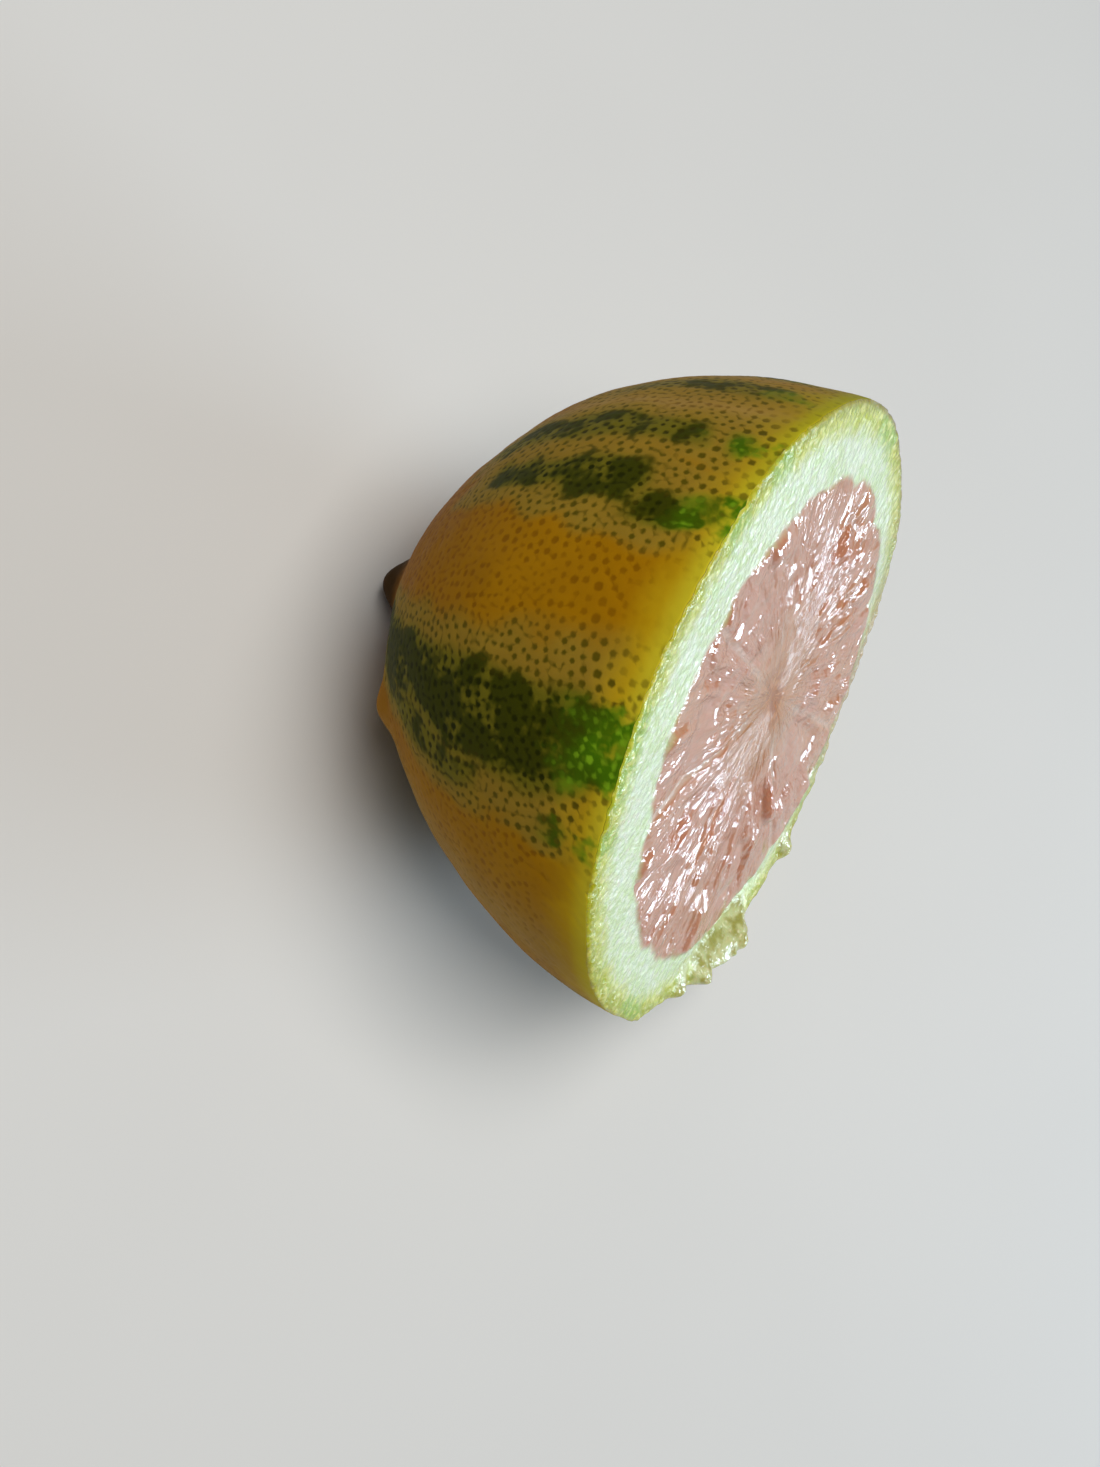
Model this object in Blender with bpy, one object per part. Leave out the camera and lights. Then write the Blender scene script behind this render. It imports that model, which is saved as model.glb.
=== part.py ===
"""Half of a striped, pink-fleshed lemon, cut across and lying on its rind.

The half is one grown piece, so it is one closed mesh. It is modelled in its own frame, with the cut
in the plane y = 0, the blossom end on +Y and angles going round the cut from +X up to +Z. Then it
is leaned back by FACE_TILT, so that the cut face looks to the front (-Y) and up, and it is set on
the surface that it rests on, with the origin there, under the middle of its box.
"""
import math
import random

import bmesh
import bpy
from mathutils import Matrix, Vector

# Driving dimensions, in metres and degrees
CUT_RADIUS = 0.0305
POLE_DEPTH = 0.0371
POLE_SHIFT = Vector((0.00075, 0.0, 0.0004))
FACE_TILT = 45.0
CUT_CENTRE = Vector((0.00001, -0.00542, 0.0325))

# The flesh lies nearer one side of the rind, and the core lies off its middle
FLESH_RADIUS = 0.0242
FLESH_CENTRE = Vector((0.0009, 0.0, -0.0023))
CORE = Vector((0.0030, 0.0, -0.0005))
CORE_DEPTH = 0.0012
CORE_SPREAD = 0.25

# Directions of the membranes round the core, one between each two segments
MEMBRANES = (4, 36, 72, 109, 152, 196, 232, 262, 297, 332)
VESICLES_IN_SEGMENT = 6
MEMBRANE_SINK = 0.0004
VESICLE_HEIGHT = 0.0006
LOWEST_VESICLE = 0.3
EDGE_NOTCH = 0.0009

# Where the rind swells from its plain round shape: angle, latitude, height, half width
SWELLINGS = {
    "flat_side": (308, 0, -0.0026, 0.0130),
    "lower_flank": (186, 32, -0.0007, 0.0150),
    "knob": (167, 55.5, 0.0012, 0.0023),
    "upper_flank": (85, 55, -0.0008, 0.0110),
    "nipple_foot": (208, 86, 0.0018, 0.0062),
    "nipple": (208, 86, 0.0034, 0.0028),
    "lower_corner": (210, 0, 0.0006, 0.0030),
}
LUMP_COUNT = 40
LUMP_HEIGHT = 0.0002
LUMP_HALF_WIDTH = 0.0045
LUMP_SEED = 5

# The stretch where the rind tore from the other half: angle, height forward of the cut, half width
TORN_TEETH = (
    (274, 0.0012, 1.8),
    (252.5, 0.0013, 3.0),
    (246.5, 0.0019, 6.0),
    (236.5, 0.0015, 2.4),
    (229, 0.0007, 2.6),
)
TORN_LEAN = 0.35
HOLLOW_ANGLE = 247
HOLLOW_HALF_WIDTH = 15.0
HOLLOW_DEPTH = 0.0012

# The rings of the mesh, the rind's in latitudes and the others as shares of their way
ZEST_THICKNESS = 0.0014
ZEST_LIP_SHARE = 0.8
HOLLOW_PLACE = 0.7
FACE_COLUMNS_IN_SEGMENT = 12
FLESH_RINGS = (0.95, 0.85, 0.73, 0.61, 0.50, 0.39)
CORE_RINGS = (0.28, 0.18, 0.09)
DOME_COLUMNS = 84
DOME_LATITUDES = (5, 12, 20, 28, 36, 43, 49, 54, 58, 61.5, 65, 68.5, 72)
POLE_LATITUDES = (75, 78, 80.5, 83, 85, 87, 88.7)
POLE_COLUMNS = 42

PEEL_COLOUR = (0.55, 0.33, 0.02)
PEEL_ROUGHNESS = 0.42
CUT_COLOUR = (0.68, 0.38, 0.28)
CUT_ROUGHNESS = 0.25
SHARP_ANGLE = 35.0
CUT_TOLERANCE = 1e-6


def mound(distance, half_width):
    """A smooth mound, 1 at its top and fading away past its half width."""
    return math.exp(-(distance / half_width) ** 2)


def turn_between(angle, other):
    """The turn from one direction to another, in degrees, at most half a turn."""
    return (angle - other + 180) % 360 - 180


def round_shape(angle, latitude):
    """A point and its outward normal on the plain half ellipsoid."""
    across = Vector((math.cos(math.radians(angle)), 0, math.sin(math.radians(angle))))
    along = Vector((0, 1, 0))
    cosine = math.cos(math.radians(latitude))
    sine = math.sin(math.radians(latitude))
    point = across * CUT_RADIUS * cosine + along * POLE_DEPTH * sine + POLE_SHIFT * sine ** 2
    normal = across * cosine / CUT_RADIUS + along * sine / POLE_DEPTH
    return point, normal.normalized()


def make_mounds():
    """The centre, height and half width of each named swelling and each seeded lump."""
    mounds = [
        (round_shape(angle, latitude)[0], height, half_width)
        for angle, latitude, height, half_width in SWELLINGS.values()
    ]
    draw = random.Random(LUMP_SEED)
    for _ in range(LUMP_COUNT):
        centre = round_shape(draw.uniform(0, 360), math.degrees(math.asin(draw.uniform(0, 1))))[0]
        mounds.append((centre, draw.uniform(-LUMP_HEIGHT, LUMP_HEIGHT), LUMP_HALF_WIDTH))
    return mounds


MOUNDS = make_mounds()


def rind_point(angle, latitude):
    """A point on the outside of the rind."""
    point, normal = round_shape(angle, latitude)
    swell = sum(height * mound((point - centre).length, width) for centre, height, width in MOUNDS)
    return point + normal * swell


def torn_height(angle):
    """How far the torn lip stands forward of the cut."""
    return sum(height * mound(turn_between(angle, at), width) for at, height, width in TORN_TEETH)


def torn_hollow(angle):
    """How far the pith behind the torn lip is pulled out."""
    return HOLLOW_DEPTH * mound(turn_between(angle, HOLLOW_ANGLE), HOLLOW_HALF_WIDTH)


def reach(start, direction, centre, radius):
    """How far a ray in the cut plane goes from its start to a circle round it."""
    offset = start - centre
    along = offset.dot(direction)
    return math.sqrt(along ** 2 - offset.length_squared + radius ** 2) - along


def face_columns():
    """The directions of the face's columns from the core, with a place across the segment (0 to 1)."""
    columns = []
    for index, start in enumerate(MEMBRANES):
        width = turn_between(MEMBRANES[(index + 1) % len(MEMBRANES)], start)
        for step in range(FACE_COLUMNS_IN_SEGMENT):
            across = step / FACE_COLUMNS_IN_SEGMENT
            columns.append((start + width * across, across))
    return columns


def flesh_relief(across, fraction, draw):
    """Height of the cut flesh: rows of vesicles side by side, sunk at the membranes and the core."""
    row = math.sin(math.pi * VESICLES_IN_SEGMENT * across) ** 2
    bulge = VESICLE_HEIGHT * row * draw.uniform(LOWEST_VESICLE, 1)
    membrane = MEMBRANE_SINK if across == 0 else 0.0
    return bulge - membrane - CORE_DEPTH * mound(fraction, CORE_SPREAD)


def face_rings():
    """Rings of points from the rim of the cut inwards to the core, with half the columns at the core."""
    draw = random.Random(LUMP_SEED)
    rings = {name: [] for name in ("rim", "zest", "hollow", "flesh_edge")}
    flesh = {fraction: [] for fraction in FLESH_RINGS + CORE_RINGS}
    for turn, across in face_columns():
        direction = Vector((math.cos(math.radians(turn)), 0, math.sin(math.radians(turn))))
        ray_end = CORE + direction * reach(CORE, direction, Vector((0, 0, 0)), CUT_RADIUS)
        angle = math.degrees(math.atan2(ray_end.z, ray_end.x)) % 360
        rim = rind_point(angle, 0)
        notch = EDGE_NOTCH if across == 0 else 0.0
        edge = CORE + direction * (reach(CORE, direction, FLESH_CENTRE, FLESH_RADIUS) - notch)
        inward = (edge - rim).normalized()
        lip = torn_height(angle)
        forward = Vector((0, -lip, 0))
        rings["rim"].append(rim + forward - inward * lip * TORN_LEAN)
        zest = inward * min(ZEST_THICKNESS, (edge - rim).length / 2)
        rings["zest"].append(rim + forward * ZEST_LIP_SHARE + zest)
        rings["hollow"].append(rim.lerp(edge, HOLLOW_PLACE) + Vector((0, torn_hollow(angle), 0)))
        rings["flesh_edge"].append(edge)
        for fraction, ring in flesh.items():
            height = flesh_relief(across, fraction, draw)
            ring.append(CORE.lerp(edge, fraction) + Vector((0, -height, 0)))
    return list(rings.values()) + [flesh[fraction] for fraction in FLESH_RINGS], [
        flesh[fraction][::2] for fraction in CORE_RINGS
    ]


def dome_ring(latitude, columns):
    """One ring of points round the rind."""
    return [rind_point(360 * index / columns, latitude) for index in range(columns)]


def zip_rings(mesh, outer, inner):
    """Joins two closed rings of any numbers of points with triangles, going round with both."""
    middle = sum((vert.co for vert in inner), Vector()) / len(inner)

    def turn_of(vert):
        return math.atan2(vert.co.z - middle.z, vert.co.x - middle.x) % (2 * math.pi)

    def turns_of(ring):
        turns = [turn_of(vert) for vert in ring]
        return turns + [turns[0] + 2 * math.pi]

    outer = sorted(outer, key=turn_of)
    inner = sorted(inner, key=turn_of)
    outer_turns = turns_of(outer)
    inner_turns = turns_of(inner)
    outer.append(outer[0])
    inner.append(inner[0])
    step_outer = 0
    step_inner = 0
    while step_outer < len(outer) - 1 or step_inner < len(inner) - 1:
        inner_is_done = step_inner == len(inner) - 1
        outer_is_left = step_outer < len(outer) - 1
        if inner_is_done or outer_is_left and outer_turns[step_outer + 1] <= inner_turns[step_inner + 1]:
            mesh.faces.new((outer[step_outer], outer[step_outer + 1], inner[step_inner]))
            step_outer += 1
        else:
            mesh.faces.new((outer[step_outer], inner[step_inner + 1], inner[step_inner]))
            step_inner += 1


def join_rings(mesh, rings):
    """Makes the rings' points and joins each ring with the next one."""
    made = [[mesh.verts.new(point) for point in ring] for ring in rings]
    for outer, inner in zip(made, made[1:]):
        zip_rings(mesh, outer, inner)
    return made


def close_ring(mesh, ring, point):
    """Closes a ring with a fan of triangles round one point."""
    middle = mesh.verts.new(point)
    for here, after in zip(ring, ring[1:] + ring[:1]):
        mesh.faces.new((here, after, middle))


def material(name, colour, roughness):
    """A plain Principled material."""
    made = bpy.data.materials.new(name)
    made.use_nodes = True
    shader = made.node_tree.nodes["Principled BSDF"]
    shader.inputs["Base Color"].default_value = (*colour, 1)
    shader.inputs["Roughness"].default_value = roughness
    shader.inputs["Metallic"].default_value = 0.0
    return made


def rest_on_floor(mesh):
    """Cuts the small flat on which the half rests, at z = 0, and closes it with one face."""
    cut = bmesh.ops.bisect_plane(
        mesh, geom=mesh.verts[:] + mesh.edges[:] + mesh.faces[:], dist=CUT_TOLERANCE,
        plane_co=(0, 0, 0), plane_no=(0, 0, -1), clear_outer=True,
    )
    edges = [item for item in cut["geom_cut"] if isinstance(item, bmesh.types.BMEdge)]
    bmesh.ops.holes_fill(mesh, edges=edges)


def build_lemon_half():
    """The whole half as one object."""
    mesh = bmesh.new()
    face, core = face_rings()
    made_face = join_rings(mesh, face + core)
    close_ring(mesh, made_face[-1], CORE + Vector((0, CORE_DEPTH, 0)))
    for triangle in mesh.faces:
        triangle.material_index = 1
    dome = [dome_ring(latitude, DOME_COLUMNS) for latitude in DOME_LATITUDES]
    dome += [dome_ring(latitude, POLE_COLUMNS) for latitude in POLE_LATITUDES]
    made_dome = join_rings(mesh, dome)
    zip_rings(mesh, made_face[0], made_dome[0])
    close_ring(mesh, made_dome[-1], rind_point(0, 90))
    bmesh.ops.recalc_face_normals(mesh, faces=mesh.faces)
    stand = Matrix.Translation(CUT_CENTRE) @ Matrix.Rotation(-math.radians(FACE_TILT), 4, "X")
    bmesh.ops.transform(mesh, matrix=stand, verts=mesh.verts)
    rest_on_floor(mesh)
    data = bpy.data.meshes.new("lemon_half")
    mesh.to_mesh(data)
    mesh.free()
    data.shade_smooth()
    data.set_sharp_from_angle(angle=math.radians(SHARP_ANGLE))
    half = bpy.data.objects.new("lemon_half", data)
    bpy.context.collection.objects.link(half)
    data.materials.append(material("peel", PEEL_COLOUR, PEEL_ROUGHNESS))
    data.materials.append(material("cut_face", CUT_COLOUR, CUT_ROUGHNESS))
    return half


def main():
    for item in list(bpy.data.objects):
        bpy.data.objects.remove(item)
    build_lemon_half()


main()
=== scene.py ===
"""Half of a striped, pink-fleshed lemon on a pale floor, in soft studio light.

One fine mesh stands for the CAD half. Its plain shape, swellings, core, membranes and torn rim
repeat the values of the CAD source; glands, juice vesicles, fibres and fine lumps are added here.
Lengths are in metres. Angles go round the cut face from +X up, in degrees, and latitude goes from
the cut (0) to the blossom end (90).
"""
import math
import random

import bpy
import numpy as np
from mathutils import Matrix, Vector, kdtree, noise


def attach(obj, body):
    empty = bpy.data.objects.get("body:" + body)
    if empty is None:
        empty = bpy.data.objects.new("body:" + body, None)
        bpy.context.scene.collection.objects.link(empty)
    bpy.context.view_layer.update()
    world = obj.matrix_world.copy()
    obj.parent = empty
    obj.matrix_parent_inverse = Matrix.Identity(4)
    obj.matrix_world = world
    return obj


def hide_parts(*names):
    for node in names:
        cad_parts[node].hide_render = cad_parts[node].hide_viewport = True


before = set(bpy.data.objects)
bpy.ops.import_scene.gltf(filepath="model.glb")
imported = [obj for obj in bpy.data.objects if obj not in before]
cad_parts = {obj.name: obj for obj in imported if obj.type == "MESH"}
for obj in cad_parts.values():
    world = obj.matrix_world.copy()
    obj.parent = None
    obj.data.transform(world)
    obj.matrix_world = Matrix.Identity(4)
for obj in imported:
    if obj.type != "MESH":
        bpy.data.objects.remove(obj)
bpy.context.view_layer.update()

MM = 0.001

# The half's plain shape and pose, as in the CAD source
CUT_RADIUS = 0.0305
POLE_DEPTH = 0.0371
POLE_SHIFT = np.array((0.00075, 0.0, 0.0004))
FACE_TILT = 45.0
CUT_CENTRE = Vector((0.00001, -0.00542, 0.0325))
FLESH_RADIUS = 0.0242
FLESH_CENTRE = np.array((0.0009, 0.0, -0.0023))
CORE = np.array((0.0030, 0.0, -0.0005))

# Membranes, as turns round the core
MEMBRANES = (4, 36, 72, 109, 152, 196, 232, 262, 297, 332)

# Swellings: angle, latitude, height and half width
SWELLINGS = {
    "flat_side": (308, 0, -0.0026, 0.0130),
    "lower_flank": (186, 32, -0.0007, 0.0150),
    "knob": (167, 55.5, 0.0012, 0.0023),
    "upper_flank": (85, 55, -0.0008, 0.0110),
    "nipple_foot": (208, 86, 0.0018, 0.0062),
    "nipple": (208, 86, 0.0034, 0.0028),
    "lower_corner": (210, 0, 0.0006, 0.0030),
}

# Low lumps all over the rind
LUMP_COUNT = 40
LUMP_HEIGHT = 0.0002
LUMP_HALF_WIDTH = 0.0045
LUMP_SEED = 5

# The torn stretch of the rim, as in the CAD source: angle, height forward of the cut, half width
TORN_TEETH = (
    (274, 0.0012, 1.8),
    (252.5, 0.0013, 3.0),
    (246.5, 0.0019, 6.0),
    (236.5, 0.0015, 2.4),
    (229, 0.0007, 2.6),
)
TORN_LEAN = 0.35
TORN_DEPTH = 0.0032
HOLLOW_ANGLE = 247
HOLLOW_HALF_WIDTH = 15.0
HOLLOW_DEPTH = 0.0012
HOLLOW_INWARD = 0.0034
HOLLOW_BREADTH = 0.0012

# The fine mesh: the spacing of its points, and how much its edges are drawn in and back
RIND_SPACING = 0.000345
FACE_SPACING = 0.000275
SMALLEST_RING = 6
LATITUDE_SAMPLES = 2000
EDGE_ROUND = 0.00035
EDGE_TUCK = 0.4
EDGE_DROP = 0.5
TORN_ROUND = 0.0009
TORN_TUCK = 0.25
TORN_DROP = 0.30
FLAT_SOFTNESS = 0.00015

# Where the rim's relief comes and goes: from and to, inward from the rim or in the torn lip's height
ZEST_THICKNESS = 0.0014
ZEST_GRAIN_END = (0.0012, 0.0034)
LIP_END = (0.3 * ZEST_THICKNESS, 2.2 * ZEST_THICKNESS)
LIP_LUMPS_START = (0.0, 0.0007)
RAGGED_END = (0.0005, 0.0020)
RAGGED_TORN_HEIGHTS = (0.0, 0.0008)

# Layers of noise on the shape: height or share of a height, size and seed
SEED_SHIFT = (7.1, 3.7, 5.3)
RIND_LUMPS = (0.00010, 0.0036, 3)
TORN_SHARE = 0.95
TORN_LUMPS = ((0.30, 0.0019, 8), (0.12, 0.0008, 10))
LIP_LUMPS = ((0.50, 0.0018, 16), (0.25, 0.0009, 17))
RAGGED_EDGE = (0.00022, 0.0012, 9)
ZEST_GRAIN = (0.00015, 0.00075, 5)
PEEL_GRAIN = (0.00007, 0.0010, 6)
CUT_WAVES = (0.00018, 0.0090, 7)
FLESH_BORDER = ((0.00055, 0.0035, 4), (0.00030, 0.0011, 18))
FLESH_BORDER_RADIUS = 0.02
RIPPLES = (0.00014, 0.0010, 13)
DIMPLES = (0.00005, 0.0007, 15)

# Stretches of the rim, as middle angle and half width
RAGGED_STRETCH = (308, 26)
THIN_STRETCH = (315, 31)
OLIVE_RIND = (25, 55)
OLIVE_RIM = (15, 45)

# Oil glands
GLAND_SPACING = 0.00095
GLAND_CROWDING = 0.6
GLAND_SEED = 11
GLAND_EVENING_ROUNDS = 8
GLAND_CLOSEST = 0.00056
GLAND_PIT_DEPTH = 0.00006
GLAND_PIT_LEAST = 0.5
GLAND_RADIUS = 0.00036
BARE_TIPS = (("knob", 0.0026), ("nipple", 0.0022))
BARE_EDGE = (0.6, 1.3)

# Juice vesicles; a gouge's turn, distance from the core, half length, half width and depth
VESICLE_SEED = 23
VESICLE_ANGLE = 7.0
VESICLE_SPREAD = 0.28
VESICLE_START = 0.003
VESICLE_LAST = 0.001
VESICLE_LENGTHS = (0.0045, 0.0105)
VESICLE_LENGTH_SHARES = (0.3, 0.7)
VESICLE_STRETCH = 3.6
VESICLE_REACH = 0.0140
VESICLE_NARROWEST = 0.3
VESICLE_HEIGHTS = (0.00015, 0.00060)
VESICLE_OFFSETS = (-0.00022, 0.00020)
VESICLE_SHOULDER = 0.00095
VESICLE_LEANS = (0.45, 0.22)
VESICLES_FROM_CORE = (0.0020, 0.0120)
BURST_SHARE = 0.13
BURST_DEPTH = 0.00055
GOUGES = (
    (167, 0.0165, 0.0034, 0.0013, 0.0007),
    (176, 0.0125, 0.0024, 0.0007, 0.0005),
    (150, 0.0175, 0.0022, 0.0008, 0.0006),
    (197, 0.0130, 0.0042, 0.0007, 0.0006),
    (206, 0.0165, 0.0034, 0.0007, 0.0005),
    (127, 0.0180, 0.0020, 0.0009, 0.0005),
    (26, 0.0165, 0.0030, 0.0008, 0.0003),
    (8, 0.0185, 0.0024, 0.0007, 0.0003),
    (347, 0.0150, 0.0034, 0.0008, 0.0003),
    (318, 0.0120, 0.0036, 0.0007, 0.0005),
    (292, 0.0145, 0.0050, 0.0009, 0.0006),
)
CUT_FLAT_SHARE = 0.30
ROUGH_PATCH_SIZE = 0.0060
ROUGH_PATCH_SEED = 14
ROUGH_PATCH_EDGE = (-0.25, 0.15)
MEMBRANE_SHOWS = (0.3, 0.5, 0.3, 0.5, 1.0, 0.5, 0.3, 0.6, 0.4, 0.3)
MEMBRANE_GROOVE = 0.00022
MEMBRANE_GROOVE_WIDTH = 0.00045
GROOVES_FROM_CORE = (0.002, 0.006)
EDGE_NOTCH = 0.0013
EDGE_NOTCH_WIDTH = 3.2
CORE_SINK = 0.0002
CORE_RADIUS = 0.0026

# Stripes from the cut towards the blossom end: middle angle, drift by the end, half width,
# first and last latitude, strength
GREEN_STRIPES = (
    (40, -2, 4.6, 6, 56, 0.84),
    (57, 0, 4.5, 2, 32, 0.66),
    (76, -1, 4.2, -6, 5, 1.05),
    (75, 2, 4.5, 9, 50, 0.80),
    (92, 0, 4.6, -5, 15, 1.05),
    (90, 0, 4.6, 14, 44, 0.98),
    (130, 14, 8.0, -8, 72, 1.06),
    (143, 10, 4.0, 22, 66, 0.80),
    (146, 0, 3.0, -5, 7, 0.88),
    (203, 4, 6.5, -6, 66, 0.98),
    (219, -5, 3.2, 10, 58, 0.72),
    (247, 6, 5.5, -5, 70, 0.95),
    (262, 0, 3.0, 22, 60, 0.74),
    (289, -6, 7.5, -6, 68, 1.03),
    (317, 3, 3.8, -4, 50, 0.78),
    (340, 6, 6.0, -5, 64, 0.96),
    (3, 0, 3.4, 12, 56, 0.70),
    (23, -5, 6.5, -6, 62, 0.98),
)
STRIPE_DRIFT_LATITUDE = 70

# The stripes' soft ends, as latitudes beside their first and last one, and soft sides, in half widths
GREEN_RISE = (-4, 4)
GREEN_FALL = (-6, 6)
GREEN_SIDE = (0.4, 1.7)
DOTTY_RISE = (-12, 2)
DOTTY_FALL = (0, 14)
DOTTY_SIDE = (1.0, 2.7)

# Layers of noise that bend the stripes: degrees, size and seed
STRIPE_WOBBLES = ((2.6, 0.009, 1), (2.4, 0.0034, 2))
STRIPE_END_WOBBLE = (5.0, 0.0050, 19)
SOFT_STRIPE_WOBBLE = (2.6, 0.009, 12)

# Tan stripes, partly painted grazing sheen, and faintly dotted stripes: middle angle, half width, strength
TAN_AND_SHEEN_STRIPES = ((44, 7, 0.65), (67, 5, 0.75), (176, 10, 0.55), (235, 8, 0.55), (305, 7, 0.50), (10, 7, 0.55))
FAINT_STRIPES = ((112, 8, 0.22), (158, 9, 0.35), (178, 12, 0.45), (212, 6, 0.25), (330, 7, 0.25))
TAN_AND_SHEEN_FADES = (45, 75)

# The rind's looks: from and to, in millimetres from the cut, in latitudes or from the nipple's tip
# The yellow margin at the cut is partly the rind's own colour and partly painted glow of light through the
# rim
YELLOW_AND_GLOW_MARGIN = (1.6, 7.2)
LEAFY_MARGIN = (5.4, 13.6)
# The bright margin at the cut is partly painted glow of light through the rim
BRIGHT_GLOW_MARGIN = (0.1, 2.4)
DOTLESS_MARGIN = (0.5, 7.0)
# Ochre deepening toward the blossom end: partly the rind's own colour, partly painted shade
OCHRE_DEEPENS_AND_SHADE = (15, 75)
# How far the painted shade on the nipple reaches from its tip
NIPPLE_SHADE_REACH = (4.4, 9.0)

# The gland dots: share of the room between glands, what the draw adds, soft edge in millimetres
DOT_SHARE = 0.60
DOT_SHARE_DRAW = 0.15
DOT_RAGGEDNESS = 0.14
DOT_EDGE = (-0.13, 0.10)
DOT_STRENGTH = 0.68
DOT_STRENGTH_DRAW = 0.4
DOT_STRENGTH_IN_STRIPES = 0.45

# The cut face's looks: from and to, in millimetres inward from the rim
ZEST_DEPTH = (0.1, 2.4)
ZEST_OUTLINE = (0.05, 0.6)
OLIVE_OUTLINE = (0.05, 0.8)
PITH_START = (1.0, 4.2)
THIN_EDGE_DEPTH = (0.8, 3.4)
TORN_LOOK_DEPTH = (2.2, 4.6)
TORN_LOOK_HEIGHTS = (0.05, 0.7)

# From and to, in millimetres across the flesh's border, a vesicle's border and a membrane
FLESH_EDGE = (-0.40, 0.55)
CREASE_LINE = (0.02, 0.20)
MEMBRANE_LINE = (0.08, 0.50)

# From and to, outward from the core
WARM_REACH = (3.0, 13.0)
LINES_FROM_CORE = (3.0, 9.0)
FIBRES_FROM_CORE = (1.0, 7.0)
HEART_DARK_REACH = (0.2, 1.9)
HEART_REACH = (0.8, 6.2)
WET_FROM_CORE = (0.6, 5.0)

# How much the brown heart's distances shrink across and up, and how far its rays come from streaks
HEART_SHAPE = (0.115, 0.060)
HEART_RAYS = 0.65
HEART_STREAKS = 0.35

# Noise in the looks: size of its features in metres, and detail
PEEL_SOFT = (0.0045, 3)
PEEL_FINE = (0.0009, 2)
PEEL_BLOTCHES = (0.0024, 3)
LEAFY_WAVES = (0.0028, 3)
DARK_PATCHES = (0.0030, 3)
PEEL_PORES = (0.00042, 2)
CUT_SOFT = (0.0035, 2)
CUT_FINE = (0.0007, 3)
ZEST_SPECKS = (0.0008, 1)
TORN_PATCHES = (0.0016, 3)
ROSE_PATCHES = (0.012, 2)
CORE_RAYS = (0.0012, 3)
FIBRE_CLUMPS = (0.0052, 2)
FLESH_GRAIN = (0.0010, 2)
PITH_GRAIN = (0.0006, 3)

# The same in millimetres along the flesh's rays, and how far the fibres are drawn out
STREAKS = (1.5, 3)
FIBRES = (0.80, 3)
FIBRE_CELLS = 1.3
FIBRE_STRETCH = 5.0

# Heights of the shaders' own relief
PORE_DEPTH = 0.00003
PORE_STRENGTH = 0.5
FIBRE_HEIGHT = 0.57
FIBRE_CELL_HEIGHT = -0.20
FLESH_GRAIN_HEIGHT = 0.16
PITH_GRAIN_HEIGHT = 0.24

# Shine: the least and what noise or wetness adds
PEEL_ROUGHNESS = (0.40, 0.2)
PEEL_SPECULAR = 0.02
CUT_ROUGHNESS = (0.18, -0.12)
TORN_SMOOTHNESS = 0.10
CUT_SPECULAR = (0.20, 0.30)
CUT_IOR = 1.9

# Colours, linear
YELLOW = (0.60, 0.38, 0.006)
OLIVE_YELLOW = (0.36, 0.30, 0.020)
# Bright yellow at the cut and the zest's outline: partly the rind's own colour, partly painted glow
BRIGHT_YELLOW_AND_GLOW = (0.68, 0.60, 0.030)
OCHRE = (0.43, 0.200, 0.002)
# Deep ochre toward the blossom end: partly the rind's own colour, partly painted shade
DEEP_OCHRE_AND_SHADE = (0.34, 0.130, 0.002)
# Tan: partly the rind's own colour, partly painted sheen
TAN_AND_SHEEN = (0.42, 0.27, 0.070)
SHADE = (0.80, 0.74, 0.62)
NET = (0.33, 0.215, 0.024)
OLIVE = (0.152, 0.140, 0.008)
LIME = (0.26, 0.50, 0.015)
DOT_SHADE = (0.66, 0.60, 0.50)
OLIVE_DOT = (0.115, 0.085, 0.004)
DARK_GREEN = (0.031, 0.039, 0.001)
DEEP_GREEN = (0.021, 0.024, 0.001)
LEAF_GREEN = (0.11, 0.28, 0.005)
DEEP_LEAF = (0.060, 0.17, 0.002)
# Painted shade on the nipple
NIPPLE_PAINTED_SHADE = (0.040, 0.018, 0.002)
ZEST_OUTER = (0.37, 0.39, 0.006)
ZEST_INNER = (0.55, 0.58, 0.022)
ZEST_OLIVE = (0.24, 0.21, 0.075)
ZEST_GREEN = (0.29, 0.50, 0.050)
ZEST_PALE = (0.86, 0.84, 0.22)
PITH = (0.76, 0.85, 0.58)
PITH_COOL = (0.67, 0.80, 0.43)
PITH_WHITE = (0.90, 0.93, 0.78)
THIN_EDGE = (0.50, 0.385, 0.22)
TORN_YELLOW = (0.42, 0.40, 0.10)
TORN_PALE = (0.66, 0.68, 0.34)
PULP_LIGHT = (0.61, 0.315, 0.185)
PULP_DEEP = (0.52, 0.200, 0.085)
PULP_WARM = (0.54, 0.240, 0.085)
PULP_ROSE = (0.57, 0.250, 0.160)
PULP_LINE = (0.62, 0.38, 0.26)
MEMBRANE = (0.74, 0.56, 0.44)
CORE_PALE = (0.56, 0.215, 0.060)
CORE_BROWN = (0.36, 0.105, 0.016)

# The stage and its light: name, azimuth, elevation, distance, size, power, colour
FLOOR_SIZE = 4.0
FLOOR_LIGHT = (0.80, 0.785, 0.76)
FLOOR_SHADE = (0.76, 0.745, 0.72)
FLOOR_MOTTLE = 0.05
FLOOR_ROUGHNESS = 0.7
ROOM_COLOUR = (0.93, 0.96, 1.0, 1.0)
ROOM_STRENGTH = 0.07
LIGHTS = (
    ("overhead", 180, 80, 0.55, (0.35, 0.35), 2.4, (1.0, 0.98, 0.94)),
    ("window", 22, 13, 0.60, (0.28, 0.15), 2.5, (0.66, 0.84, 1.0)),
)

# Camera, fitted to the photograph
LENS = 43.26
SENSOR = 36.0
CLIP_START = 0.01
CAMERA_AZIMUTH = -131.24
CAMERA_ELEVATION = 60.0
CAMERA_ROLL = 78.96
FACE_IN_CAMERA = Vector((0.01943, 0.00136, -0.16341))


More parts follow.
